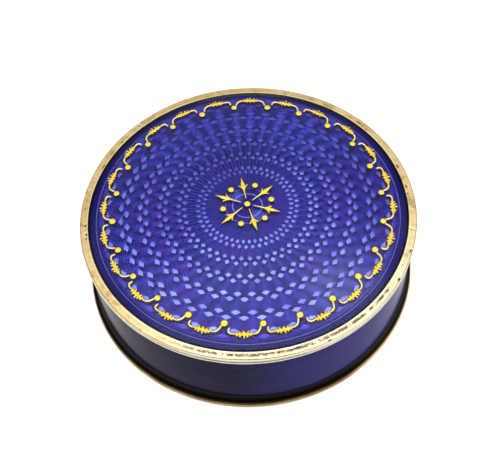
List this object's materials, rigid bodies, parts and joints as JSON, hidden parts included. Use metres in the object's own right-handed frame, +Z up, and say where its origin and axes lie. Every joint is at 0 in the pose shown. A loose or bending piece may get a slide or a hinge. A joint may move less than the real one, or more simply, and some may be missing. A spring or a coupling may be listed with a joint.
{
  "type": "pill box",
  "caption": "Round flat enamelled pill box on a flared gilt foot, with a low domed pull-off lid of translucent enamel over an engine-turned ground, set with gold foil ornament.",
  "frame": {"origin": "centre of the flat face the box stands on", "axes": "+Z up through the lid's centre, -Y towards the front, +X to the right seen from the front"},
  "size_m": [0.0488, 0.0488, 0.0151],
  "materials": {
    "gilt_metal": "polished silver-gilt, worn, with small pits and scuffs",
    "foil_gold": "bright gold foil, slightly domed, under clear enamel",
    "lid_enamel": "glossy translucent cobalt enamel",
    "engine_turned_ground": "engine-turned metal as it reads through cobalt enamel",
    "wall_enamel": "glossy opaque-looking dark navy enamel"
  },
  "bodies": {
    "drum": {"foot_ring": "gilt_metal", "floor_plate": "gilt_metal", "wall_tube": "gilt_metal", "wall_enamel": "wall_enamel", "mouth_ring": "gilt_metal"},
    "lid": {"lid_rim": "gilt_metal", "lid_plaque": "engine_turned_ground", "lid_enamel": "lid_enamel", "lid_backplate": "gilt_metal", "lid_sleeve": "gilt_metal", "centre_dot": "foil_gold", "border_beads": "foil_gold", "star_arrow_1": "foil_gold", "star_arrow_2": "foil_gold", "star_arrow_3": "foil_gold", "star_arrow_4": "foil_gold", "star_arrow_5": "foil_gold", "star_arrow_6": "foil_gold", "star_dot_1": "foil_gold", "star_dot_2": "foil_gold", "star_dot_3": "foil_gold", "star_dot_4": "foil_gold", "star_dot_5": "foil_gold", "star_dot_6": "foil_gold", "swag_01": "foil_gold", "swag_02": "foil_gold", "swag_03": "foil_gold", "swag_04": "foil_gold", "swag_05": "foil_gold", "swag_06": "foil_gold", "swag_07": "foil_gold", "swag_08": "foil_gold", "swag_09": "foil_gold", "swag_10": "foil_gold", "swag_11": "foil_gold", "swag_12": "foil_gold", "swag_13": "foil_gold", "swag_14": "foil_gold", "swag_15": "foil_gold", "swag_16": "foil_gold", "swag_17": "foil_gold", "swag_18": "foil_gold", "swag_19": "foil_gold", "swag_20": "foil_gold", "swag_21": "foil_gold", "swag_22": "foil_gold", "swag_23": "foil_gold", "swag_24": "foil_gold"}
  },
  "joints": [
    {"name": "lid_lift", "type": "slide", "parent": "drum", "child": "lid", "axis": [0, 0, 1], "range_m": [0, 0.025]}
  ]
}
